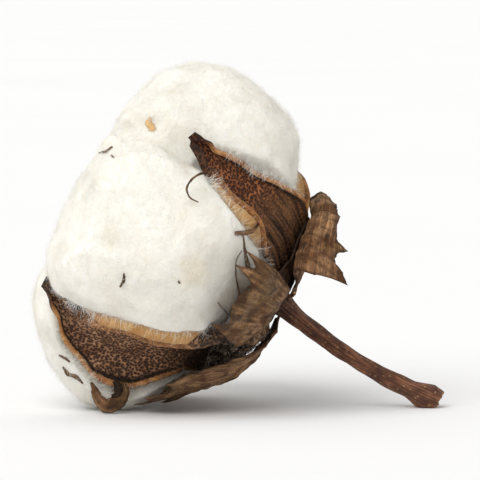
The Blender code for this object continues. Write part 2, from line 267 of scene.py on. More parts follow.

# %% [markdown]
# ## Lint
# Lint is loose cellulose: white, faintly cream, without shine. Light soaks into it and comes out softened, so it gets
# some subsurface scattering and a little sheen. Weather leaves yellowish stains, which come in by an attribute that
# is painted on the mesh, and the creases between tufts get a touch of painted grey shade.

# %% Lint material
lint_white, tree, shader = new_material(
    "lint_white", Roughness=0.95, Subsurface_Weight=0.35, Subsurface_Scale=1.0,
    Subsurface_Radius=(0.0024, 0.002, 0.0015), Sheen_Weight=0.12, Sheen_Roughness=0.5, Specular_IOR_Level=0.15)
place = object_place(tree)
marks = parts_of(tree, attribute(tree, "marks"))
clouds = masked(tree, mottle, place, Scale=70, Detail=5, Low=0.35, High=0.7)
wisps = masked(tree, streaks, place, Stretch=(1, 0.35, 0.6), Scale=900, Low=0.38, High=0.66)
colour = blend(tree, clouds, paint(250, 248, 241), paint(243, 239, 228))
colour = blend(tree, levels(tree, wisps, 0, 0.2), colour, paint(226, 220, 206))
colour = blend(tree, marks["X"], colour, paint(206, 186, 140))
# Painted shade: the creases between tufts are greyed.
colour = blend(tree, marks["Y"], colour, paint(186, 172, 150))
tree.links.new(colour, shader.inputs["Base Color"])
fine = masked(tree, mottle, place, Scale=2600, Detail=3, Low=0.3, High=0.7)
soft = masked(tree, mottle, place, Scale=420, Detail=5, Low=0.25, High=0.75)
relief(tree, shader, [(soft, 0.00035), (wisps, 0.00012), (fine, 0.00005)])

lint_fibre, tree, shader = new_material(
    "lint_fibre", Roughness=0.8, Specular_IOR_Level=0.2, Subsurface_Weight=0.2, Subsurface_Radius=(0.002, 0.002, 0.0015))
shade = masked(tree, mottle, object_place(tree), Scale=300, Detail=2, Low=0.3, High=0.7)
tree.links.new(blend(tree, shade, paint(252, 250, 244), paint(242, 238, 227)), shader.inputs["Base Color"])
print("made", lint_white.name, "and", lint_fibre.name)

# %% [markdown]
# ## Capsule wall
# The outside of a dry valve is dark brown and pitted all over with tiny oil glands, which look like specks. The cut
# edge, where the capsule split, is a clean tan to orange rim, and a painted shadow line runs just inside it. Two woody
# lines and many folds run from the base upwards, and the grooves of the woody lines get painted shade. Painted shade
# also darkens the inside of rolled lips, the hollow at the base and the inner face where no lining covers it. The
# beak darkens towards its point. The pattern follows the wall, so it reads the mesh's own attributes.

# %% Valve material
valve_wall, tree, shader = new_material("valve_wall", Specular_IOR_Level=0.35)
skin = attribute(tree, "skin")
marks = parts_of(tree, attribute(tree, "marks"))
pits = masked(tree, specks, skin, Scale=1.8, Near=0.22, Far=0.56)
grit = masked(tree, mottle, skin, Scale=1.5, Detail=4, Low=0.46, High=0.6)
blotches = masked(tree, mottle, skin, Scale=0.3, Detail=6, Low=0.36, High=0.66)
grain = masked(tree, streaks, skin, Stretch=(0.12, 1.4, 1), Scale=1.1, Low=0.42, High=0.6)
colour = blend(tree, blotches, paint(204, 154, 116), paint(146, 102, 70))
colour = blend(tree, levels(tree, pits, 0, 0.95), colour, paint(50, 31, 23))
colour = blend(tree, levels(tree, grit, 0, 0.6), colour, paint(80, 53, 39))
warm = blend(tree, 1.0, colour, paint(218, 168, 118), "MULTIPLY")
colour = blend(tree, parts_of(tree, skin)["Z"], colour, warm)
woody = blend(tree, grain, paint(132, 90, 54), paint(70, 42, 24))
colour = blend(tree, marks["Z"], colour, woody)
rim_shade = masked(tree, streaks, skin, Stretch=(0.5, 1, 1), Scale=0.9, Low=0.4, High=0.6)
rim = blend(tree, rim_shade, paint(196, 142, 86), paint(146, 94, 50))
colour = blend(tree, marks["X"], colour, rim)
# Painted shade: the line inside the rim, the unlined inner face, rolled lips, the hollow and the grooves; the beak also
# darkens at its point.
colour = blend(tree, marks["Y"], colour, paint(30, 17, 10))
tree.links.new(colour, shader.inputs["Base Color"])
tree.links.new(levels(tree, blotches, 0.62, 0.85), shader.inputs["Roughness"])
bare = put(tree, "ShaderNodeMath", {"operation": "SUBTRACT", "use_clamp": True})
bare.inputs[0].default_value = 1.0
tree.links.new(marks["X"], bare.inputs[1])
pitted = put(tree, "ShaderNodeMath", {"operation": "MULTIPLY"})
tree.links.new(pits, pitted.inputs[0])
tree.links.new(bare.outputs[0], pitted.inputs[1])
relief(tree, shader, [(grain, 0.00012), (pitted.outputs[0], -0.0003)])
print("made", valve_wall.name)

# %% [markdown]
# ## Golden lining
# The inside of each valve is a smooth, almost polished straw-gold skin. It is marked crosswise where the packed
# seeds pressed on it, and it goes brown towards its torn edges. It is the only part with a clear shine.

# %% Lining material
lining_gold, tree, shader = new_material("lining_gold", Specular_IOR_Level=0.5, Coat_Roughness=0.35)
skin = attribute(tree, "skin")
marks = parts_of(tree, attribute(tree, "marks"))
bands = masked(tree, streaks, skin, Stretch=(1.2, 0.16, 1), Scale=0.9, Low=0.36, High=0.64)
clouds = masked(tree, mottle, skin, Scale=0.22, Detail=5, Low=0.36, High=0.66)
colour = blend(tree, clouds, paint(232, 196, 134), paint(206, 156, 88))
colour = blend(tree, levels(tree, bands, 0, 0.55), colour, paint(176, 124, 64))
colour = blend(tree, marks["X"], colour, paint(128, 80, 42))
tree.links.new(colour, shader.inputs["Base Color"])
tree.links.new(levels(tree, clouds, 0.34, 0.55), shader.inputs["Roughness"])
relief(tree, shader, [(bands, 0.0002)])
print("made", lining_gold.name)

# %% [markdown]
# ## Bracts, calyx and stalk
# The bracts are dry leaves: papery, brown with some green left in them, with veins that fan out from the base. The
# calyx is darker and duller. The stalk is reddish brown bark with fine lines along it, and pale broken wood at its
# far end. All are rough, and none is evenly coloured.

# %% Bract material
def leaf_material(name, pale, dark, green, vein):
    made, tree, shader = new_material(name, Specular_IOR_Level=0.3)
    skin, place = attribute(tree, "skin"), object_place(tree)
    marks = parts_of(tree, attribute(tree, "marks"))
    patches = masked(tree, mottle, place, Scale=260, Detail=8, Low=0.42, High=0.6)
    greens = masked(tree, mottle, place, Scale=110, Detail=3, Low=0.46, High=0.62)
    lines = masked(tree, streaks, skin, Stretch=(0.1, 1.5, 1), Scale=1.2, Low=0.42, High=0.6)
    burns = masked(tree, mottle, place, Scale=330, Detail=6, Low=0.56, High=0.66)
    spots = masked(tree, specks, skin, Scale=0.9, Near=0.08, Far=0.2)
    colour = blend(tree, patches, pale, dark)
    colour = blend(tree, levels(tree, greens, 0, 0.5), colour, green)
    colour = blend(tree, levels(tree, lines, 0, 0.65), colour, vein)
    colour = blend(tree, levels(tree, burns, 0, 0.75), colour, paint(46, 29, 19))
    colour = blend(tree, levels(tree, spots, 0, 0.6), colour, paint(40, 25, 16))
    colour = blend(tree, marks["X"], colour, vein)
    # Second mark: bracts are darker towards their tips and get painted shade at their base; torn strips are evenly a
    # little darker.
    colour = blend(tree, marks["Y"], colour, paint(52, 31, 18))
    tree.links.new(colour, shader.inputs["Base Color"])
    tree.links.new(levels(tree, patches, 0.6, 0.85), shader.inputs["Roughness"])
    crumple = masked(tree, mottle, place, Scale=600, Detail=6, Low=0.3, High=0.7)
    relief(tree, shader, [(lines, -0.00025), (crumple, 0.0003)])
    return made


bract_leaf = leaf_material("bract_leaf", paint(178, 134, 92), paint(112, 74, 43), paint(122, 98, 60), paint(70, 43, 25))
calyx_skin = leaf_material("calyx_skin", paint(92, 62, 40), paint(44, 29, 20), paint(66, 52, 34), paint(34, 21, 14))
print("made", bract_leaf.name, "and", calyx_skin.name)

# %% Stalk material
stalk_bark, tree, shader = new_material("stalk_bark", Specular_IOR_Level=0.4)
skin = attribute(tree, "skin")
marks = parts_of(tree, attribute(tree, "marks"))
bark = masked(tree, streaks, skin, Stretch=(0.12, 2.2, 1), Scale=1.1, Low=0.42, High=0.6)
clouds = masked(tree, mottle, skin, Scale=0.35, Detail=5, Low=0.36, High=0.66)
colour = blend(tree, clouds, paint(150, 98, 66), paint(92, 52, 33))
colour = blend(tree, levels(tree, bark, 0, 0.75), colour, paint(56, 32, 22))
lenticels = masked(tree, specks, skin, Scale=0.55, Near=0.05, Far=0.16)
colour = blend(tree, levels(tree, lenticels, 0, 0.6), colour, paint(176, 134, 98))
wood = blend(tree, bark, paint(206, 172, 124), paint(146, 102, 62))
colour = blend(tree, marks["X"], colour, wood)
# Painted shade where the stalk goes into the calyx.
colour = blend(tree, marks["Y"], colour, paint(36, 22, 15))
tree.links.new(colour, shader.inputs["Base Color"])
tree.links.new(levels(tree, bark, 0.45, 0.75), shader.inputs["Roughness"])
relief(tree, shader, [(bark, 0.0002), (clouds, 0.0001)])
print("made", stalk_bark.name)

# %% [markdown]
# ## From a mesh to a piece
# Each finished mesh becomes an object at the origin, with its place in its vertices. It rides on the one body of
# this part, takes its material, and hides the CAD nodes it stands for.

# %% Add a piece to the scene
def add_piece(name, mesh, material, replaced=()):
    if isinstance(mesh, bmesh.types.BMesh):
        made = bpy.data.meshes.new(name)
        mesh.to_mesh(made)
        mesh.free()
        mesh = made
    mesh.shade_smooth()
    mesh.materials.clear()
    mesh.materials.append(material)
    piece = bpy.data.objects.new(name, mesh)
    bpy.context.scene.collection.objects.link(piece)
    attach(piece, "root")
    if replaced:
        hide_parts(*replaced)
    triangles = sum(len(face.vertices) - 2 for face in mesh.polygons)
    print(f"{name}: {triangles} triangles")
    return piece


def set_marks(bm, values):
    """Writes vectors on the vertices: skin runs along and across a wall in mm, marks are masks for the shader."""
    layers = [bm.verts.layers.float_vector.new(name) for name in ("skin", "marks")]
    for vertex in bm.verts:
        for layer, value in zip(layers, values(vertex)):
            vertex[layer] = value


# %% [markdown]
# ## Thin closed walls
# Valves, linings and bracts are thin walls with two faces and a rounded edge. One grid makes such a wall: its
# columns run over the outer face, round one edge, back over the inner face and round the other edge, and then its
# first and last column are merged. That keeps the wall closed and lets its thickness change along the way.

# %% A grid wrapped round a wall
def wall_loop(outer, inner, edge):
    """(across from -1 to 1, face from 1 outside to -1 inside, bulge of the edge) for each column."""
    loop = [(2 * i / outer - 1, 1.0, 0.0) for i in range(outer)]
    loop += [(1.0, math.cos(math.pi * i / edge), math.sin(math.pi * i / edge)) for i in range(edge)]
    loop += [(1 - 2 * i / inner, -1.0, 0.0) for i in range(inner)]
    loop += [(-1.0, -math.cos(math.pi * i / edge), math.sin(math.pi * i / edge)) for i in range(edge)]
    return loop


def wrapped_grid(rows, loop, place, lay=TO_WORLD):
    """place(along, *column) gives a vertex its position, skin and marks. lay takes the position to the world."""
    bm = bmesh.new()
    count = len(loop)
    bmesh.ops.create_grid(bm, x_segments=count, y_segments=rows, size=0.5)
    layers = [bm.verts.layers.float_vector.new(name) for name in ("skin", "marks")]
    for vertex in bm.verts:
        along, column = vertex.co.y + 0.5, round((vertex.co.x + 0.5) * count) % count
        position, *values = place(along, *loop[column])
        vertex.co = lay @ position
        for layer, value in zip(layers, values):
            vertex[layer] = value
    bmesh.ops.remove_doubles(bm, verts=bm.verts, dist=1e-7)
    rims = [edge for edge in bm.edges if edge.is_boundary]
    if rims:
        bmesh.ops.holes_fill(bm, edges=rims)
    bmesh.ops.recalc_face_normals(bm, faces=bm.faces)
    bm.normal_update()
    return bm


print("a valve's section has", len(wall_loop(90, 36, 6)), "columns")

# %% [markdown]
# ## Valves
# A valve is a quarter of the capsule's wall: a trough from the base to a pointed beak, with lips that curl outwards
# as it dries. Its path, the width of each half and the turn of each lip are the CAD model's own numbers, so the
# wall lies where the solid lies. The fine wall adds a thick rim, a sharp beak, folds and pits.

# %% The numbers of the four valves
VALVE_WALL = 1.1 * MM
VALVE_FOOT = [(2.6, 2.8), (8, 2.6), (13, 3.8)]
VALVES = {
    "lower_front": dict(azimuth=-52, bow=[(16.6, 7), (20, 12.6), (23.8, 20.2), (26.2, 30.5), (25.8, 39.4)],
                        arcs=(13.8, 13.2), curls=(85, 150), widths=("late", "even"), lining=(7.3, 15),
                        creases=(0.35, 0.5), hollow=0.4, narrow=-1.5, hook=(0.6, -1.9, 2.5), tone=0,
                        gold=(8.0, 14.5)),
    "upper_front": dict(azimuth=38, bow=[(17.6, 7), (21, 12.4), (23.4, 18), (26, 24.5), (29.6, 30.4)],
                        arcs=(10.5, 11), curls=(150, 60), widths=("late", "early"), lining=(8, 15),
                        lips=(0.34, 0.6), woody=(0.44, 0.62), narrow=-1.1, hook=(-0.3, -0.6, 0.4), tone=0.85,
                        beak_darkening=0.2),
    "upper_back": dict(azimuth=134, bow=[(17.8, 7), (21.6, 13), (24.4, 21), (26.6, 29.5), (26.6, 37)],
                       arcs=(9.5, 11.5), curls=(100, 110), widths=("even", "even"), lining=(4, 15)),
    "lower_back": dict(azimuth=-118, bow=[(19.6, 5.8), (25.8, 9), (31, 12.6), (34.8, 15.8), (38.2, 18.6)],
                       arcs=(9.5, 7.5), curls=(75, 40), widths=("even", "even"), lining=(4, 15)),
}
VALVE_WIDTHS = {
    "even": [(0, 0.5), (0.2, 0.72), (0.42, 1), (0.68, 0.86), (0.84, 0.46), (0.92, 0.2), (1, 0.1)],
    "late": [(0, 0.5), (0.15, 0.62), (0.38, 0.45), (0.56, 0.92), (0.7, 0.9), (0.84, 0.5), (0.92, 0.22), (1, 0.1)],
    "early": [(0, 0.5), (0.15, 0.8), (0.36, 1), (0.5, 0.75), (0.7, 0.5), (0.84, 0.34), (0.92, 0.2), (1, 0.1)],
}
CREASES, LEAST_CURL_RADIUS = (0.35, 0.35), 0.9 * MM
LIPS, LIP_WAVE, WOODY = (0.2, 0.48), 0.5 * MM, (0.3, 0.46)

azimuths = sorted(valve["azimuth"] % 360 for valve in VALVES.values())
for number, valve in enumerate(VALVES.values()):
    own = azimuths.index(valve["azimuth"] % 360)
    below, above = azimuths[own] - azimuths[own - 1], azimuths[(own + 1) % 4] - azimuths[own]
    valve["halves"] = [math.radians(gap % 360 / 2) for gap in (below, above)]
    valve["turn"], valve["seed"] = math.radians(valve["azimuth"]), 10 * number
    valve["path"], valve["length"] = smooth_path(VALVE_FOOT + valve["bow"])
    valve["rows"] = {}
    print(f"valve at {valve['azimuth']} degrees is {valve['length']:.0f} mm long")


# %% A point on a valve's wall
def lip_of(valve, share, side, radius):
    """Half width, flat middle and turn of a valve's section there, on side 0 or 1."""
    places, widths = zip(*VALVE_WIDTHS[valve["widths"][side]])
    half = valve["arcs"][side] * MM * float(np.interp(share, places, widths))
    half = min(half, radius * math.tan(valve["halves"][side]) - 0.45 * MM)
    turn = math.radians(valve["curls"][side]) * ramp(share, *valve.get("lips", LIPS))
    flat = valve.get("creases", CREASES)[side] * half
    return half, flat, min(turn, (half - flat) / LEAST_CURL_RADIUS)


def row_of(valve, share):
    if share not in valve["rows"]:
        (radius, height), outwards = along_path(valve["path"], share)
        sides = [lip_of(valve, share, side, radius) for side in (0, 1)]
        valve["rows"][share] = float(radius), float(height), [float(v) for v in outwards], sides
    return valve["rows"][share]


def valve_point(valve, share, across, lift):
    """share along the valve from 0 to 1, across it from -1 to 1, lifted outwards. Also its distance across."""
    radius, height, (out_r, out_h), sides = row_of(valve, share)
    side = int(across > 0)
    half, flat, turn = sides[side]
    along = abs(across) * half
    sideways, rise, angle = along, 0.0, 0.0
    if along > flat and turn > 1e-4:
        curl_radius = (half - flat) / turn
        angle = (along - flat) / curl_radius
        sideways = flat + curl_radius * math.sin(angle)
        rise = curl_radius * (1 - math.cos(angle))
    wave = LIP_WAVE * abs(across) ** 3 * math.sin(share * 23 + side * 2) * ramp(share, LIPS[1], 0.7)
    sideways -= lift * math.sin(angle)
    rise += lift * math.cos(angle) + wave * (1 - ramp(share, 0.75, 0.9))
    point = turned(radius + out_r * rise, height + out_h * rise, valve["turn"], math.copysign(sideways, across))
    return point, math.copysign(along / MM, across)


print("beak of the lower front valve:", [round(v / MM, 1) for v in TO_WORLD @ valve_point(VALVES["lower_front"], 1, 0, 0)[0]])


# %% Make the valves
def valve_wall_place(valve):
    hooked = TO_WORLD.to_3x3().inverted() @ Vector(valve.get("hook", (0, 0, 0))) * MM
    first, last = valve.get("gold", valve["lining"])

    def place(along, across, face, bulge):
        tip = ramp(along, 0.88, 1.0)
        neck = math.exp(-(((along - 0.9) / 0.03) ** 2))
        width = (1 - 0.12 * neck) * (1 - valve.get("narrow", 0.75) * tip) if along < 0.9999 else 0.0
        thick = VALVE_WALL / 2 * (0.8 + 0.3 * ramp(abs(across), 0.8, 0.97)) * (1 - 0.6 * tip) * (along < 0.9999)
        half = row_of(valve, along)[3][int(across > 0)][0]
        reach = across * width + math.copysign(bulge * thick / max(half, MM), across)
        ragged = 0.03 * tip * noise.noise(Vector((across * 2.2, valve["seed"] + 7, 0)))
        point, distance = valve_point(valve, along + ragged, reach, face * thick)
        point += hooked * ramp(along, 0.8, 1.0) ** 1.4
        rolled = valve["curls"][int(across > 0)] > 120
        lined = ramp(along * 18, first - 0.8, first + 0.8) * (1 - ramp(along * 18, last - 0.6, last + 1.2))
        edge = ramp(abs(across), 0.955, 0.985) if face > 0.99 else 1.0
        rim = edge * (1 - tip) * ramp(along, 0.12, 0.3) * (lined if rolled else 1) * (1 - 0.5 * ramp(-face, 0, 1))
        # Painted shade: a dark line inside the raised rim, the unlined inner face, the inside of a rolled lip, the
        # hollow at the base and the woody grooves.
        shadow = ramp(abs(across), 0.85, 0.92) * (1 - ramp(abs(across), 0.95, 0.968)) * (face > 0.99) * ramp(along, 0.25, 0.5)
        shadow = max(shadow, 0.75 * (1 - lined) * ramp(-face, 0.2, 1.0))
        inside = rolled * ramp(abs(across), 0.42, 0.6) * ramp(along, 0.45, 0.6) * (face > 0.99) * (1 - edge)
        hollow = (1 - ramp(along, valve.get("hollow", 0) - 0.08, valve.get("hollow", 0) + 0.08)) * (face > -0.99)
        # The beak darkens towards its point.
        shadow = max(shadow * 0.95, ramp(along, 0.92, 1.0) * valve.get("beak_darkening", 0.45), inside * 0.9,
                     hollow * 0.85 * ("hollow" in valve))
        uneven = along + 0.06 * noise.noise(Vector((distance / 3, along * 8, valve["seed"])))
        woody = (1 - ramp(uneven, *valve.get("woody", WOODY))) * (face > -0.99)
        shadow = max(shadow, 0.85 * groove(along, distance, valve["seed"]) * woody)
        return point, (along * valve["length"], distance, valve.get("tone", 0.4)), (rim, shadow, woody)

    return place


def groove(along, across, seed):
    """Two woody lines that run from the base up the wall, deepest at their middle."""
    sway = 0.9 * noise.noise(Vector((along * 6, seed, 0)))
    return sum(math.exp(-(((across - line - sway) / 0.42) ** 2)) for line in (-1.6, 1.5)) * ramp(along, 0.1, 0.2)


def roughen_valve(bm, seed, length):
    skin, marks = bm.verts.layers.float_vector["skin"], bm.verts.layers.float_vector["marks"]
    moved = []
    for vertex in bm.verts:
        along, across = vertex[skin].xy
        rim, _, woody = vertex[marks]
        folds = noise.noise(Vector((along / 16, across / 1.7, seed))) * (0.32 if woody > 0.5 else 0.2)
        grooves = groove(along / length, across, seed) * 0.45 * woody
        pits = 0.12 * max(0, 0.45 - noise.voronoi(Vector((along, across, seed)) / 0.9)[0][0]) * 2
        bumps = 0.14 * noise.noise(Vector((along, across, seed + 5)) / 2.4)
        fade = 1 - 0.75 * rim
        moved.append(vertex.normal * ((folds + bumps - pits) * fade - grooves) * MM)
    for vertex, offset in zip(bm.verts, moved):
        vertex.co += offset
    bm.normal_update()


for name, valve in VALVES.items():
    bm = wrapped_grid(160, wall_loop(90, 36, 6), valve_wall_place(valve))
    roughen_valve(bm, valve["seed"], valve["length"])
    add_piece(f"capsule_valve_{name}", bm, valve_wall, [f"valve_{name}"])

# %% [markdown]
# ## Linings
# The lining is the same trough again, a little inside the wall, and it turns over with the curled lip. That turned
# strip is what shows gold beside the lint. Its ends are torn, so the rows at both ends run out unevenly.

# %% Make the linings
LINING_WALL, LINING_SPREAD, GAP, VALVE_STEPS = 0.6 * MM, 0.94, 0.12 * MM, 18
LINING_LIFT = -(VALVE_WALL / 2 + GAP + LINING_WALL / 2)


def lining_place(valve):
    first, last = valve["lining"]
    bright = valve.get("gold", valve["lining"])

    def place(along, across, face, bulge):
        tear = noise.noise(Vector((across * 5, valve["seed"] + 3, 0))) + 0.5 * noise.noise(Vector((across * 17, valve["seed"], 0)))
        start, end = (first + 0.5 * tear) / VALVE_STEPS, (last + 0.35 * tear) / VALVE_STEPS
        share = start + (end - start) * along
        ends = min(along, 1 - along)
        thick = LINING_WALL / 2 * min(1, 0.25 + ends * 12)
        wobble = 0.012 * noise.noise(Vector((share * 40, across, valve["seed"])))
        gold = ramp(share * 18, bright[0] - 1.2, bright[0] + 0.9) * (1 - ramp(share * 18, bright[1] - 1.2, bright[1] + 1.2))
        spread = LINING_SPREAD + wobble - 0.16 * (1 - gold)
        reach = across * spread + math.copysign(bulge * 0.02, across)
        lift = LINING_LIFT + face * thick + 0.07 * MM * math.sin(share * 120 + 2 * math.sin(across * 3 + share * 30))
        point, distance = valve_point(valve, share, reach, lift)
        uneven = noise.noise(Vector((share * 60, across * 4, valve["seed"])))
        worn = max(1 - gold + 0.4 * uneven * (gold < 0.98), 0.5 * ramp(abs(across) + 0.05 * uneven, 0.9, 1.0), 0)
        return point, (share * valve["length"], distance, 0), (worn, 0, 0)

    return place


for name, valve in VALVES.items():
    bm = wrapped_grid(90, wall_loop(48, 60, 4), lining_place(valve))
    add_piece(f"golden_lining_{name}", bm, lining_gold, [f"lining_{name}"])

# %% [markdown]
# ## Bracts
# Three toothed leaves grow under the boll and dry round its base. Each is a fan: its rows run out along a path and
# its columns spread by angle, and a list of angles and reaches gives the teeth. The teeth narrow to points, the
# veins stand up a little, and the margins curl.

# %% The numbers of the three bracts
BRACTS = {
    "front": dict(azimuth=-4, sweep=(0, 0), seed=1,
                  path=[(2.6, 0.2), (8, 0.1), (12, 0.3), (15.5, 1), (19.4, 2.2), (23.6, 4.1), (27.6, 6.8), (30.8, 10.2),
                        (33, 14.8)],
                  edge=[(-42, 8), (-38, 13), (-33, 15), (-29, 13), (-23, 20), (-18, 24), (-12, 30), (-9, 27), (-3, 28.5),
                        (3, 29), (8, 28), (11, 33), (14, 29), (17, 33), (19.5, 22), (22, 9)]),
    "upper": dict(azimuth=45, sweep=(0.34, 0.15), seed=2, rounded=True,
                  path=[(3.7, -1.2), (8, -0.8), (12, -0.1), (15, 0.7), (17.6, 2.4), (20, 3.4), (21.8, 2.6), (22.8, 0.4),
                        (23.3, -2.6), (23.5, -5.6)],
                  edge=[(-23, 9), (-20.5, 21), (-17, 25.6), (-13, 25), (-9, 24), (-5, 24.5), (-1, 27), (3, 24.6),
                        (11, 24.2), (19, 25), (26, 24.4), (33, 25), (40, 23), (48, 20.5), (55, 15.5), (60, 9.5)]),
    "lower": dict(azimuth=-78, sweep=(0, 0), seed=6,
                  path=[(3.5, -1.4), (7, -1.9), (11.5, -1.7), (16, -0.2), (20.6, 2.6), (25, 6.2), (29.2, 10.1), (32.6, 13.8)],
                  edge=[(-44, 9), (-38, 16), (-32, 14), (-24, 19), (-17, 17), (-8, 28), (-2, 27), (4, 34), (10, 31),
                        (15, 33), (20, 28), (25, 30), (31, 25), (36, 24), (40, 18), (43, 9)]),
}
BRACT_WALL, BRACT_CRUMPLE = 0.45 * MM, 0.9 * MM
for bract in BRACTS.values():
    bract["line"], bract["length"] = smooth_path(bract["path"])
    bract["angles"], bract["reaches"] = zip(*bract["edge"])
print({name: len(bract["edge"]) for name, bract in BRACTS.items()}, "points on the bracts' edges")


# %% Make the bracts
def edge_of(bract, across):
    """Angle and reach of the bract's edge: teeth are narrow at their tips and wide at their roots."""
    knot = (across + 1) / 2 * (len(bract["angles"]) - 1)
    i = min(int(knot), len(bract["angles"]) - 2)
    f = knot - i
    angle = bract["angles"][i] * (1 - f) + bract["angles"][i + 1] * f
    a, b = bract["reaches"][i], bract["reaches"][i + 1]
    sharp = b + (a - b) * (1 - f) ** 1.5 if a > b else a + (b - a) * f**1.5
    return angle, sharp + 0.25 * noise.noise(Vector((knot * 3.1, bract["seed"], 0)))


def bract_place(bract):
    centre = math.radians(bract["azimuth"])

    def place(along, across, face, bulge):
        angle, reach = edge_of(bract, across)
        (radius, height), (out_r, out_h) = along_path(bract["line"], along * reach / bract["length"])
        spot = Vector((radius, height, math.radians(angle) * 9 * MM)) / (7 * MM) + Vector((bract["seed"], 0, 0))
        lift = BRACT_CRUMPLE * noise.noise(spot) * ramp(along, 0.1, 0.5)
        veins = math.cos(math.radians(angle) * 26 + 2.5 * noise.noise(spot * 0.6)) ** 2
        fold = noise.noise(Vector((math.radians(angle) * 7, along * 1.3, bract["seed"] * 3)))
        crumple = noise.noise(spot * 5) * 0.3 + noise.noise(spot * 11) * 0.14
        lift += (0.2 * veins**6 + 0.6 * fold + crumple) * MM * ramp(along, 0.15, 0.45)
        lift += 0.8 * noise.noise(spot * 1.7 + UP * 4) * MM * ramp(along, 0.72, 1.0)
        lift += face * BRACT_WALL / 2 * (1 - 0.55 * ramp(along, 0.75, 1)) * (along < 0.9999)
        height += bract["sweep"][angle > 0] * angle * (along * reach / max(bract["reaches"])) ** 3.5 * MM
        turn = centre + math.radians(angle) + math.copysign(bulge, across) * BRACT_WALL / 2 / max(radius, 4 * MM)
        vein = 0.55 * veins**8 * ramp(along, 0.05, 0.3)
        # Darker towards the tips, and painted shade at the base where the bract goes under the capsule.
        dark_tips_shaded_base = ramp(along, 0.93, 1.0) * 0.6 + 0.5 * (1 - ramp(along, 0.12, 0.3))
        point = turned(radius + out_r * lift, height + out_h * lift, turn)
        grain = (along * reach, math.radians(angle) * 18)
        return point, (*(grain[::-1] if "rounded" in bract else grain), 0), (vein, dark_tips_shaded_base, 0)

    return place


for name, bract in BRACTS.items():
    columns = 6 * (len(bract["angles"]) - 1)
    bm = wrapped_grid(70, wall_loop(columns, columns, 3), bract_place(bract))
    add_piece(f"dry_bract_{name}", bm, bract_leaf, [f"bract_{name}"])

# %% [markdown]
# ## Calyx
# The calyx is the small cup of five low lobes that the capsule sits in. It is one closed ring: the grid runs round
# the boll, and its columns go out over the outer face, round the lobed edge and back.

# %% Make the calyx
CALYX, CALYX_LOBES, CALYX_WALL = [(2.2, 1.0), (6, 1.1), (9.4, 1.3), (11.8, 1.8), (14.4, 2.7), (17, 3.9)], 5, 1.1 * MM
calyx_line, calyx_length = smooth_path(CALYX)


def calyx_place(along, across, face, bulge):
    turn = math.tau * along
    lobe = 0.84 + 0.16 * abs(math.cos(turn * CALYX_LOBES / 2)) ** 0.7
    share = (across + 1) / 2 * lobe * (1 + 0.02 * noise.noise(Vector((math.cos(turn), math.sin(turn), 0)) * 6))
    (radius, height), (out_r, out_h) = along_path(calyx_line, share)
    around = Vector((math.cos(turn), math.sin(turn), 0)) * radius / MM
    lift = (face * CALYX_WALL / 2 + 0.25 * MM * noise.noise(around / 2.2)) * (1 - 0.5 * ramp(across, 0.6, 1))
    lift += 1.1 * MM * (1 - ramp(radius, 4.5 * MM, 8 * MM)) * (face > 0) * face
    radius += math.copysign(bulge, across) * CALYX_WALL / 3
    edge = 0.5 * ramp(across, 0.8, 1)
    return turned(radius + out_r * lift, height + out_h * lift, turn), (radius / MM, turn * 9, 0), (edge, 0, 0)


bm = wrapped_grid(160, wall_loop(26, 16, 4), calyx_place)
add_piece("lobed_calyx", bm, calyx_skin, ["calyx"])

# %% [markdown]
# ## Stalk
# The stalk is a thin woody stem that swells where it joined the branch. It was torn off there, so its far end is
# pale, splintered wood. The boll's weight and the stalk's own length set it down on the surface.

# %% Make the stalk
STALK_TOP, STALK_LENGTH, STALK_SAG = 1.2 * MM, 37.5 * MM, 1.6 * MM
STALK_RADII = [(0, 3.2), (0.05, 2.5), (0.1, 2.05), (0.2, 1.65), (0.6, 1.5), (0.84, 1.9), (0.94, 2.6), (1, 2.3)]


def stalk_place(along, turn_share):
    share = along / 0.97
    turn = math.tau * turn_share
    places, radii = zip(*STALK_RADII)
    radius = float(np.interp(min(share, 1), places, radii)) * MM
    around = Vector((math.cos(turn), math.sin(turn), 0))
    ridges = 0.12 * noise.noise(around * 2.2 + UP * share * 1.5) + 0.05 * noise.noise(around * 5 + UP * share * 3)
    knots = 0.16 * noise.noise(around * 0.9 + UP * share * 9)
    torn = max(0, share - 1) / 0.031
    radius *= (1 + ridges + knots) * (1 - min(torn, 1)) if torn < 1 else 0
    height = STALK_TOP - STALK_LENGTH * min(share, 1)
    splinter = 0.5 + 0.5 * noise.noise(around * 3 * (1 - torn) + Vector((7, 0, 0)))
    height -= (0.9 * splinter - 0.5) * MM * (torn > 0) * (1 - 0.5 * torn)
    middle = Vector((0, -STALK_SAG * math.sin(math.pi * min(max((share * STALK_LENGTH - 2.1 * MM) / (35.4 * MM), 0), 1)), height))
    pale = ramp(share, 0.985, 1.01)
    # The second mark is painted shade on the first few mm of the stalk, where it goes into the calyx.
    return middle + around * radius, (share * 37, turn * 1.6, 0), (pale, 0.6 * (1 - ramp(share, 0.04, 0.14)), 0)


bm = wrapped_grid(170, [(i / 48,) for i in range(48)], stalk_place)
for vertex in bm.verts:
    vertex.co.z = max(vertex.co.z, 0.02 * MM)
bm.normal_update()
add_piece("woody_stalk", bm, stalk_bark, ["stalk"])

# %% [markdown]
# ## The mass of lint
# Each lock is one swollen tuft, but ripe locks press together until only soft creases part them. The four CAD locks
# are copied, merged, puffed up, turned into one skin by a voxel remesh, and let down again by the same amount. That
# closes the narrow gaps and leaves shallow creases. Noise at three sizes then makes the tufts.

# %% One skin round the four locks
LOCKS = ("lock_front", "lock_top", "lock_back", "lock_bottom")
PUFF, VOXEL = 1.5 * MM, 0.55 * MM
LINT_ROLLS = [("lower_front", 1, (0.42, 0.86), (1.3, 0.75, 1.1)), ("upper_front", 0, (0.42, 0.9), (0.7, 0.6, 1.2))]
ROLL_TUFTS = 60
draw = random.Random(11)
# Noise vectors take their offsets from the clock unless they have a seed.
noise.seed_set(11)


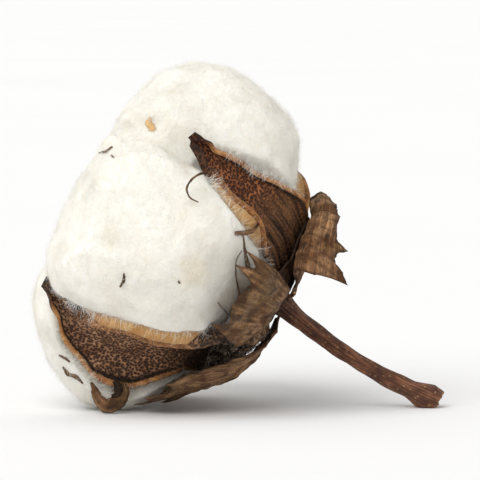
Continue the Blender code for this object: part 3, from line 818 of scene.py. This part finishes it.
def merged_copy(node):
    bm = bmesh.new()
    bm.from_mesh(CAD[node].data)
    bmesh.ops.remove_doubles(bm, verts=bm.verts, dist=1e-6)
    bm.normal_update()
    return bm


def offset(bm, distance):
    for vertex in bm.verts:
        vertex.co += vertex.normal * distance
    bm.normal_update()


def remeshed(mesh, voxel):
    """A new mesh: one closed skin round everything in the given one."""
    carrier = bpy.data.objects.new("carrier", mesh)
    bpy.context.scene.collection.objects.link(carrier)
    remesh = carrier.modifiers.new("skin", "REMESH")
    remesh.mode, remesh.voxel_size = "VOXEL", voxel
    made = bpy.data.meshes.new_from_object(carrier.evaluated_get(bpy.context.evaluated_depsgraph_get()))
    bpy.data.objects.remove(carrier)
    return made


def smoothed(mesh, times):
    bm = bmesh.new()
    bm.from_mesh(mesh)
    for _ in range(times):
        bmesh.ops.smooth_vert(bm, verts=bm.verts, factor=0.5, use_axis_x=True, use_axis_y=True, use_axis_z=True)
    bm.normal_update()
    return bm


puffed = bpy.data.meshes.new("puffed")
together = bmesh.new()
for node in LOCKS:
    lock = merged_copy(node)
    offset(lock, PUFF)
    lock.to_mesh(puffed)
    lock.free()
    together.from_mesh(puffed)
for name, side, shares, sizes in LINT_ROLLS:
    valve = VALVES[name]
    for i in range(ROLL_TUFTS):
        t = i / (ROLL_TUFTS - 1)
        share = shares[0] + (shares[1] - shares[0]) * t
        half, flat, turn = row_of(valve, share)[3][side]
        crest = (flat + (half - flat) * min(math.radians(80) / turn, 1)) / half if turn > 0.1 else 1
        spot, _ = valve_point(valve, share, math.copysign(crest, side - 0.5), -1.9 * MM)
        size = (float(np.interp(t, (0, 0.5, 1), sizes)) * draw.uniform(0.75, 1.2) + 1.25) * MM
        bmesh.ops.create_icosphere(together, subdivisions=2, radius=size, matrix=Matrix.Translation(TO_WORLD @ spot))
plug = TO_WORLD @ Matrix.Translation(Vector((0, 0, 30 * MM)))
bmesh.ops.create_icosphere(together, subdivisions=3, radius=9 * MM, matrix=plug)
together.to_mesh(puffed)
together.free()
lint = smoothed(remeshed(puffed, VOXEL), 6)
offset(lint, -PUFF + 0.25 * MM)
lint.to_mesh(puffed)
lint.free()
lint = smoothed(remeshed(puffed, VOXEL), 4)
print("lint skin has", len(lint.verts), "vertices")

# %% Tufts, creases and stains
STAINS = [((112, 290), 3.6, 0.4), ((62, 270), 2.6, 0.2), ((147, 300), 3.0, 0.25), ((70, 365), 4.0, 0.3)]
CALM_NEAR, CALM_FAR = 0.6 * MM, 5 * MM


def photo_place(x, y):
    """A pixel of the reference view as a place in it: X and Z in metres."""
    return ((x - 50) * 0.32 - 3.4) * MM, ((381 - y) * 0.32 - 1.1) * MM


walls = bmesh.new()
for name in VALVES:
    walls.from_mesh(CAD[f"valve_{name}"].data)
valve_tree = BVHTree.FromBMesh(walls)
walls.free()


def tuft(place):
    """How far the lint stands out there, in mm."""
    spot = place / MM
    warp = noise.noise_vector(spot / 11) * 5
    big = noise.noise((spot + warp) / 10)
    medium = noise.noise((spot + warp * 1.5) / 4.2)
    small = noise.noise((spot + warp) / 1.6)
    return 0.8 * big + 0.3 * medium + 0.06 * small


skin, marks = (lint.verts.layers.float_vector.new(name) for name in ("skin", "marks"))
moves = []
for vertex in lint.verts:
    away = valve_tree.find_nearest(vertex.co)[3]
    swell = tuft(vertex.co)
    moves.append(vertex.normal * swell * MM * (0.15 + 0.85 * ramp(away, CALM_NEAR, CALM_FAR)))
    stain = 0.0
    for pixel, size, strength in STAINS:
        x, z = photo_place(*pixel)
        gap = math.hypot(vertex.co.x - x, vertex.co.z - z) / (size * MM) + noise.noise(vertex.co / (3 * MM)) * 0.5
        stain = max(stain, strength * (1 - ramp(gap, 0.2, 1.2)) * (vertex.normal.y < 0.2))
    stain = max(stain, 0.35 * (1 - ramp(away, 0.2 * MM, 1.8 * MM)))
    # The second mark is painted shade: greyer where the lint sinks into a crease.
    vertex[marks] = (stain, 0.35 * ramp(-swell, 0.2, 1.0), 0)
for vertex, move in zip(lint.verts, moves):
    vertex.co += move
    vertex.co.z = max(vertex.co.z, 0.03 * MM)
lint.normal_update()
lint_tree = BVHTree.FromBMesh(lint)
lint.faces.ensure_lookup_table()
roots = [(face.calc_center_median(), face.normal.copy()) for face in lint.faces]
add_piece("lint_mass", lint, lint_white, LOCKS)

# %% [markdown]
# ## Loose fibres
# A cotton fibre is a flat, twisted ribbon as thin as a hair. Ten thousands of them stand off the lint and blur its
# outline. Particles and hair don't survive an export, so each fibre is a real ribbon of three faces: one strip is
# repeated by an Array modifier, and its vertices are then laid along the fibres all at once.

# %% Ribbons along many curves
def ribbons(name, spines, faces_out, widths, material):
    """spines and faces_out hold (count, rows, 3) points and flat-side normals, and widths one width for each."""
    count, rows, _ = spines.shape
    strip = bmesh.new()
    bmesh.ops.create_grid(strip, x_segments=1, y_segments=rows - 1, size=0.5)
    mesh = bpy.data.meshes.new(name)
    strip.to_mesh(mesh)
    strip.free()
    carrier = bpy.data.objects.new("carrier", mesh)
    bpy.context.scene.collection.objects.link(carrier)
    array = carrier.modifiers.new("repeat", "ARRAY")
    array.count, array.use_relative_offset = count, False
    made = bpy.data.meshes.new_from_object(carrier.evaluated_get(bpy.context.evaluated_depsgraph_get()))
    bpy.data.objects.remove(carrier)
    corners = np.array([vertex.co[:2] for vertex in mesh.vertices])
    side, row = np.sign(corners[:, 0]), np.rint((corners[:, 1] + 0.5) * (rows - 1)).astype(int)
    forward = np.gradient(spines, axis=1)
    sideways = np.cross(forward, faces_out)
    sideways /= np.linalg.norm(sideways, axis=2, keepdims=True) + 1e-12
    taper = np.interp(np.linspace(0, 1, rows), [0, 0.3, 1], [0.8, 1, 0.35])
    places = spines[:, row] + sideways[:, row] * (side * taper[row])[None, :, None] * widths[:, None, None] / 2
    made.vertices.foreach_set("co", places.reshape(-1))
    made.update()
    return add_piece(name, made, material)


# %% Fuzz all over the lint
FUZZ_PIECES, FUZZ_EACH, FUZZ_ROWS = 3, 22000, 4


def fuzz_fibre(root, normal):
    """Points and flat-side normals of one fibre that starts in the lint and lies over it."""
    spot = root / (6 * MM)
    drift = noise.noise_vector(spot) + 0.55 * Vector((draw.uniform(-1, 1), draw.uniform(-1, 1), draw.uniform(-1, 1)))
    tangent = (drift - normal * drift.dot(normal)).normalized()
    bend = normal.cross(tangent) * draw.uniform(-0.5, 0.5)
    length = draw.uniform(1.2, 4.2) * MM
    height = draw.uniform(0.05, 0.3) * MM if draw.random() < 0.75 else draw.uniform(0.35, 0.95) * MM
    points, outs = [], []
    for row in range(FUZZ_ROWS):
        t = row / (FUZZ_ROWS - 1)
        wanted = root + (tangent * t + bend * t * t) * length
        near, out, _, _ = lint_tree.find_nearest(wanted)
        lift = height * math.sin(math.pi * (0.12 + 0.7 * t)) - 0.06 * MM * (row == 0)
        points.append(near + out * lift)
        outs.append(out + Vector((draw.uniform(-1, 1), draw.uniform(-1, 1), draw.uniform(-1, 1))) * 0.5)
    return points, outs


for part in range(FUZZ_PIECES):
    fibres = []
    while len(fibres) < FUZZ_EACH:
        root, normal = roots[draw.randrange(len(roots))]
        if root.z > 0.4 * MM:
            fibres.append(fuzz_fibre(root, normal))
    spines = np.array([[point[:] for point in points] for points, _ in fibres])
    spines[:, :, 2] = np.maximum(spines[:, :, 2], 0.05 * MM)
    facing = np.array([[out[:] for out in outs] for _, outs in fibres])
    widths = np.array([draw.uniform(0.022, 0.045) * MM for _ in fibres])
    ribbons(f"lint_fuzz_{part + 1}", spines, facing, widths, lint_fibre)

# %% Fibres combed over the valves' lips
LIP_FIBRES, LIP_REACH, TIP_CLEARS = 9000, 1.6 * MM, 6 * MM
walls = bmesh.new()
for name in VALVES:
    walls.from_mesh(bpy.data.objects[f"capsule_valve_{name}"].data)
    walls.from_mesh(bpy.data.objects[f"golden_lining_{name}"].data)
wall_tree = BVHTree.FromBMesh(walls)
walls.free()
tips = [TO_WORLD @ valve_point(valve, 0.97, 0, 0)[0] for valve in VALVES.values()]
beside = []
for root, normal in roots:
    near, _, _, away = wall_tree.find_nearest(root, LIP_REACH)
    clear = min((root - tip).length for tip in tips) > TIP_CLEARS
    if near and clear and root.z > 0.6 * MM and (near - root).dot(normal) > -0.2 * away:
        beside.append((root, normal, near))
print(len(beside), "places for fibres beside the lips")


def lip_fibre(root, normal, near):
    """A fibre that leaves the lint and lies a little way over the lip beside it."""
    way = (near - root).normalized() + 0.7 * Vector((draw.uniform(-1, 1), draw.uniform(-1, 1), draw.uniform(-1, 1)))
    way.normalize()
    length = draw.uniform(1.2, 3.2) * MM
    lift = draw.uniform(0.05, 0.35) * MM
    points, outs = [], []
    for row in range(FUZZ_ROWS):
        t = row / (FUZZ_ROWS - 1)
        wanted = root + way * length * t + normal * lift
        spot, out, _, _ = lint_tree.find_nearest(wanted)
        wall, wall_out, _, away = wall_tree.find_nearest(wanted)
        if away < (spot - wanted).length:
            spot, out = wall, wall_out
        if (wanted - spot).dot(out) < lift:
            wanted = spot + out * lift
        points.append(wanted)
        outs.append(out + Vector((draw.uniform(-1, 1), draw.uniform(-1, 1), draw.uniform(-1, 1))) * 0.5)
    return points, outs


def crosses_wall(points):
    return any(wall_tree.ray_cast(a, b - a, (b - a).length)[0] for a, b in zip(points, points[1:]))


fibres = []
while len(fibres) < LIP_FIBRES:
    made = lip_fibre(*beside[draw.randrange(len(beside))])
    if not crosses_wall(made[0]):
        fibres.append(made)
spines = np.array([[point[:] for point in points] for points, _ in fibres])
spines[:, :, 2] = np.maximum(spines[:, :, 2], 0.05 * MM)
facing = np.array([[out[:] for out in outs] for _, outs in fibres])
widths = np.array([draw.uniform(0.025, 0.05) * MM for _ in fibres])
ribbons("lint_fuzz_lips", spines, facing, widths, lint_fibre)

# %% [markdown]
# ## Dusty and shaded lint, and torn bits
# Where the front bract and the lower bract meet the capsule there is a dark hollow, filled with curled fibres that are
# partly dusty and partly painted dark as shade.
# Bits of torn skin also lie on the lint: a tendril that hangs from a lip, thin teeth of a bract, flakes, and a curled
# fragment of a valve's tip under the boll. Each is a narrow strip along a few points.

# %% Curled fibres in the hollow
CURLS, CURL_ROWS = 2200, 8
dusty_shaded_fibre, tree, shader = new_material("dusty_shaded_fibre", Roughness=0.9, Specular_IOR_Level=0.2)
dirt_and_shade = masked(tree, mottle, object_place(tree), Scale=900, Detail=3, Low=0.5, High=0.6)
# The dark fibres are partly dust and partly painted shade in the hollow.
tree.links.new(blend(tree, dirt_and_shade, paint(36, 27, 21), paint(186, 168, 148)), shader.inputs["Base Color"])
strands, facing = [], []
for _ in range(CURLS):
    radius, height = draw.uniform(11.5, 18.5), draw.uniform(-0.2, 1)
    turn = math.radians(draw.uniform(-72, -22))
    start = TO_WORLD @ turned(radius * MM, (0.6 + (radius - 11.5) * 0.42 + 2.6 * height) * MM, turn)
    axis = Vector((draw.uniform(-1, 1), draw.uniform(-1, 1), draw.uniform(-1, 1))).normalized()
    arm = axis.orthogonal().normalized() * draw.uniform(0.5, 1.9) * MM
    sweep, rise = draw.uniform(2, 6), draw.uniform(-0.8, 0.8) * MM
    points = [start + Matrix.Rotation(sweep * i / (CURL_ROWS - 1), 3, axis) @ arm + axis * rise * i / CURL_ROWS
              for i in range(CURL_ROWS)]
    strands.append([point[:] for point in points])
    facing.append([axis[:]] * CURL_ROWS)
widths = np.array([draw.uniform(0.05, 0.1) * MM for _ in strands])
ribbons("dusty_shaded_fibres", np.array(strands), np.array(facing), widths, dusty_shaded_fibre)

# %% Where a pixel of the reference view lies on the boll
CAMERA_RISE = math.radians(4)
VIEW = Vector((0, math.cos(CAMERA_RISE), -math.sin(CAMERA_RISE)))


def on_boll(x, y, lift=0.25):
    """The place in mm, lifted towards the viewer. Beside the outline it is level with the nearest lint."""
    across, up = photo_place(x, y)
    middle = Vector((across, BOLL_BASE.y, up))
    hits = [tree.ray_cast(middle - VIEW * 0.2, VIEW) for tree in (lint_tree, wall_tree)]
    found = [(away, spot) for spot, _, _, away in hits if spot]
    spot = min(found)[1] if found else Vector((across, lint_tree.find_nearest(middle)[0].y, up))
    return (spot - VIEW * lift * MM) / MM


def strand(name, pixels, widths, material, thin=0.4, lifts=(0.25,), upright=False):
    """A narrow dry strip through pixels of the view, widths in mm along it, thin its thickness as a share of them."""
    lifts = np.interp(np.linspace(0, 1, len(pixels)), np.linspace(0, 1, len(lifts)), lifts)
    points = [on_boll(x, y, lift) for (x, y), lift in zip(pixels, lifts)]
    if upright:
        points = [Vector((p.x, min(q.y for q in points) - 0.3 * lift, p.z)) for p, lift in zip(points, lifts)]
    line, length = smooth_path([point[:] for point in points], 80)
    seed = sum(ord(letter) for letter in name)

    def place(along, share):
        i = min(int(along * 79), 78)
        middle = Vector(line[i] + (line[i + 1] - line[i]) * (along * 79 - i))
        forward = Vector(line[i + 1] - line[i]).normalized()
        side = forward.cross(VIEW).normalized()
        width = float(np.interp(along, np.linspace(0, 1, len(widths)), widths)) * MM / 2
        width *= 1 + 0.35 * noise.noise(Vector((along * length * 1.4, seed, share * 3)))
        angle = math.tau * share
        position = middle + side * math.cos(angle) * width + side.cross(forward) * math.sin(angle) * width * thin
        position.z = max(position.z, 0.04 * MM)
        return position, (along * length, 3 * share, 0), (0.5 * (abs(math.cos(angle)) > 0.9), 0.3, 0)

    add_piece(name, wrapped_grid(50, [(i / 12,) for i in range(12)], place, Matrix.Identity(4)), material)


# %% Tendril, thin teeth, flakes and the curled fragment
strand("tendril", [(121, 237), (115, 238), (110, 242), (107.5, 247), (109, 252), (114, 255)],
       (0.5, 0.42, 0.36, 0.26), bract_leaf, 0.8, (1.0, 1.8, 1.8, 1.3, 0.5), True)
strand("tooth_long", [(142, 315), (137, 305), (135.5, 295), (136, 288), (139, 283)],
       (1.2, 0.9, 0.6, 0.35, 0.15), bract_leaf, 0.4, (0.7, 0.5, 0.4))
strand("tooth_upper", [(146, 302), (143, 294), (141, 284), (139.5, 272)],
       (1.6, 1.2, 0.7, 0.3), bract_leaf, 0.3, (0.8, 0.5, 0.5))
strand("tooth_low", [(143, 322), (135, 321), (129, 318), (125, 313)],
       (1.2, 0.6, 0.4, 0.15), bract_leaf, 0.4, (0.8, 0.6, 0.4))
strand("rolled_strip", [(135.5, 273), (141, 272.5), (146, 271), (149, 267)],
       (0.8, 0.9, 0.8, 0.4), bract_leaf, 0.8, (0.5, 0.7, 0.9))
strand("flake_upper", [(83.5, 206.5), (85.5, 210), (88.5, 212.5)], (0.5, 1.2, 1.5, 0.4), lining_gold, 0.25)
strand("flake_small", [(85, 205), (86.5, 207.5)], (0.3, 0.5, 0.2), lining_gold, 0.5)
strand("bit_outline", [(56, 226), (60, 225.5), (64, 222.5)], (0.3, 0.7, 0.3), bract_leaf, 0.4)
strand("bit_dot", [(63.4, 227.4), (64.8, 229)], (0.3, 0.5, 0.25), bract_leaf, 0.6)
strand("bit_streak", [(71.5, 296), (71.2, 300), (69, 304)], (0.3, 0.6, 0.3), bract_leaf, 0.4)
strand("bit_low", [(102.6, 300.4), (103.6, 301.8)], (0.25, 0.5, 0.25), bract_leaf, 0.6)
strand("bit_brown", [(33, 352), (37, 356.5), (41, 358), (45, 362)], (0.3, 1.0, 0.8, 0.3), bract_leaf, 0.3)
strand("bit_brown_small", [(31, 345), (35, 347), (37.5, 349)], (0.3, 0.6, 0.3), bract_leaf, 0.4)
strand("curled_tip", [(69, 361), (70, 367), (66, 372.5), (59.5, 374.5), (54, 370.5), (52, 365), (50, 361)],
       (0.8, 1.7, 2.6, 2.9, 2.3, 1.6, 0.5), bract_leaf, 0.25, (0.6, 0.9, 1.2, 1.4, 1.2, 0.8, 0.4), True)
# Painted shade: a darker strip lines the inside of the curled fragment.
strand("curled_tip_inside", [(64, 360), (66, 364.5), (65, 368), (62, 369)],
       (1.0, 1.7, 1.5, 0.5), calyx_skin, 0.4, (0.6, 0.8, 0.8, 0.6), True)

# %% [markdown]
# ## Floor, light and camera
# The boll lies on a plain pale floor. A wide, soft key light comes from the upper left and the front, and an even
# white world fills the shadows, as a light tent does. A long lens far off keeps the proportions of the photograph.

# %% Stage
floor_bm = bmesh.new()
bmesh.ops.create_grid(floor_bm, x_segments=8, y_segments=8, size=60)
floor_mesh = bpy.data.meshes.new("floor")
floor_bm.to_mesh(floor_mesh)
floor_bm.free()
floor = bpy.data.objects.new("floor", floor_mesh)
bpy.context.scene.collection.objects.link(floor)
floor_white, tree, shader = new_material("floor_white", Roughness=0.9, Specular_IOR_Level=0.1)
pale = masked(tree, mottle, object_place(tree), Scale=3, Detail=2, Low=0.2, High=0.8)
tree.links.new(blend(tree, pale, paint(247, 247, 247), paint(245, 245, 245)), shader.inputs["Base Color"])
floor_mesh.materials.append(floor_white)

key = bpy.data.lights.new("key", "SUN")
key.energy, key.angle = 1.95, math.radians(50)
key_lamp = bpy.data.objects.new("key", key)
key_lamp.rotation_euler = Vector((-0.45, -0.75, 1.0)).to_track_quat("Z", "Y").to_euler()
bpy.context.scene.collection.objects.link(key_lamp)

world = bpy.data.worlds.new("tent")
world.use_nodes = True
world.node_tree.nodes["Background"].inputs["Color"].default_value = (1, 0.995, 0.985, 1)
world.node_tree.nodes["Background"].inputs["Strength"].default_value = 0.62
bpy.context.scene.world = world
bpy.context.scene.view_settings.view_transform = "Standard"
print("floor, key light and world are set")

# %% Camera
LENS, VIEW_WIDTH = 280, 92 * MM
middle = Vector(((cad_box[0].x + cad_box[1].x) / 2, 2 * MM, (cad_box[0].z + cad_box[1].z) / 2 - 1 * MM))
camera_data = bpy.data.cameras.new("camera")
camera_data.lens, camera_data.sensor_width = LENS, 36
camera = bpy.data.objects.new("camera", camera_data)
camera.location = middle - VIEW * (VIEW_WIDTH * LENS / 36)
camera.rotation_mode = "QUATERNION"
camera.rotation_quaternion = VIEW.to_track_quat("-Z", "Y")
camera_data.clip_start, camera_data.clip_end = 0.01, 200
bpy.context.scene.collection.objects.link(camera)
bpy.context.scene.camera = camera
print("camera is", round(camera.location.length * 1000), "mm away")
